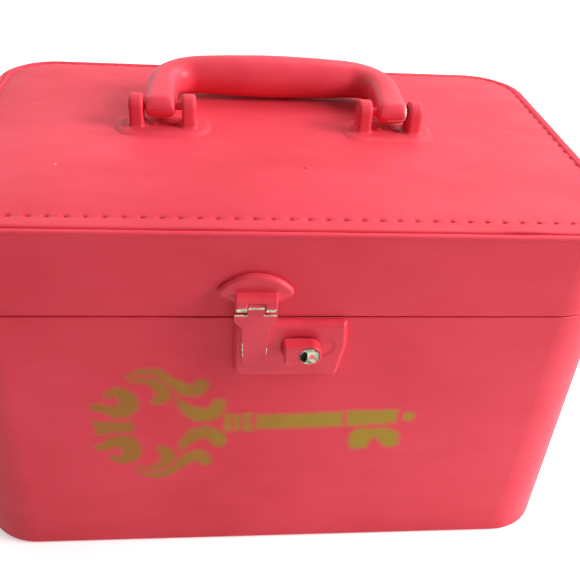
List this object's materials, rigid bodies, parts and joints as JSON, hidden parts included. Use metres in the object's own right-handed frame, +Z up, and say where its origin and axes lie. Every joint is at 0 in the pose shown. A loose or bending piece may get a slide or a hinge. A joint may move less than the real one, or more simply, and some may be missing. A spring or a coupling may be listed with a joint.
{
  "type": "train case",
  "caption": "Leatherette-covered make-up train case with hinged lid, folding top handle, sliding hasp lock, lid mirror and lift-out tray.",
  "frame": {"origin": "middle of the flat base panel, on the surface the case stands on", "axes": "+X to the right, +Y to the back (the hinge side), +Z up; the lock faces -Y"},
  "size_m": [0.3, 0.2163, 0.2116],
  "materials": {
    "leatherette": "satin painted leatherette",
    "plywood": "bare birch ply",
    "lining_cloth": "woven lining cloth on card",
    "lining_pad": "lining cloth over foam",
    "lining_board": "covered strip",
    "painted_metal": "satin brushed paint over pressed steel",
    "rivet_steel": "dull",
    "worn_nickel": "worn, dull plated",
    "foam": "soft foam sheet",
    "mirror_glass": "silvered glass",
    "mirror_frame": "moulded rim",
    "handle_grip": "moulded, painted satin",
    "tray_board": "cloth-covered board",
    "ribbon": "grosgrain ribbon"
  },
  "bodies": {
    "case": {"base_panel": "leatherette", "base_board": "plywood", "case_wall": "plywood", "case_skin": "leatherette", "case_lining": "lining_cloth", "floor_pad": "lining_pad", "tray_rails": "lining_board", "lock_plate": "painted_metal", "lock_rivets": "rivet_steel", "slider_spring": "rivet_steel", "case_hinge_leaves": "painted_metal", "case_hinge_rivets": "rivet_steel", "hinge_pins": "rivet_steel"},
    "lid": {"lid_wall": "plywood", "lid_board": "plywood", "lid_skin": "leatherette", "top_pad": "foam", "top_panel": "leatherette", "welt": "leatherette", "lid_lining": "lining_cloth", "ceiling_lining": "lining_cloth", "mirror": "mirror_glass", "mirror_frame": "mirror_frame", "lid_hinge_leaves": "painted_metal", "lid_hinge_rivets": "rivet_steel", "handle_brackets": "painted_metal", "handle_pins": "rivet_steel", "bracket_rivets": "rivet_steel", "bracket_back_plates": "rivet_steel", "hasp_plate": "painted_metal", "hasp_plate_rivets": "rivet_steel", "hasp_pin": "rivet_steel"},
    "handle": {"handle_grip": "handle_grip", "handle_core": "rivet_steel"},
    "hasp": {"hasp": "painted_metal", "hasp_staple": "rivet_steel"},
    "slider": {"slide_button": "painted_metal", "slider_bolt": "rivet_steel", "lock_barrel": "worn_nickel"},
    "key_plug": {"key_plug": "worn_nickel"},
    "tray": {"tray_shell": "tray_board", "tray_long_divider": "tray_board", "tray_cross_dividers": "tray_board", "tray_tabs": "ribbon"}
  },
  "joints": [
    {"name": "lid_hinge", "type": "hinge", "parent": "case", "child": "lid", "pos_m": [0, 0.1013, 0.14625], "axis": [-1, 0, 0], "range_deg": [0, 100]},
    {"name": "handle_swing", "type": "hinge", "parent": "lid", "child": "handle", "pos_m": [-0.0008, 0.0017, 0.19955], "axis": [1, 0, 0], "range_deg": [0, 174]},
    {"name": "hasp_swing", "type": "hinge", "parent": "lid", "child": "hasp", "pos_m": [-0.0146, -0.104, 0.1574], "axis": [-1, 0, 0], "range_deg": [0, 100]},
    {"name": "lock_slide", "type": "slide", "parent": "case", "child": "slider", "axis": [1, 0, 0], "range_m": [0, 0.005], "stiffness_N_per_m": 200, "springref_m": -0.003, "deforming": ["slider_spring"]},
    {"name": "key_turn", "type": "hinge", "parent": "slider", "child": "key_plug", "pos_m": [0.0085, -0.1096, 0.1337], "axis": [0, 1, 0], "range_deg": [0, 90]},
    {"name": "tray_lift", "type": "slide", "parent": "case", "child": "tray", "axis": [0, 0, 1], "range_m": [0, 0.024]}
  ]
}
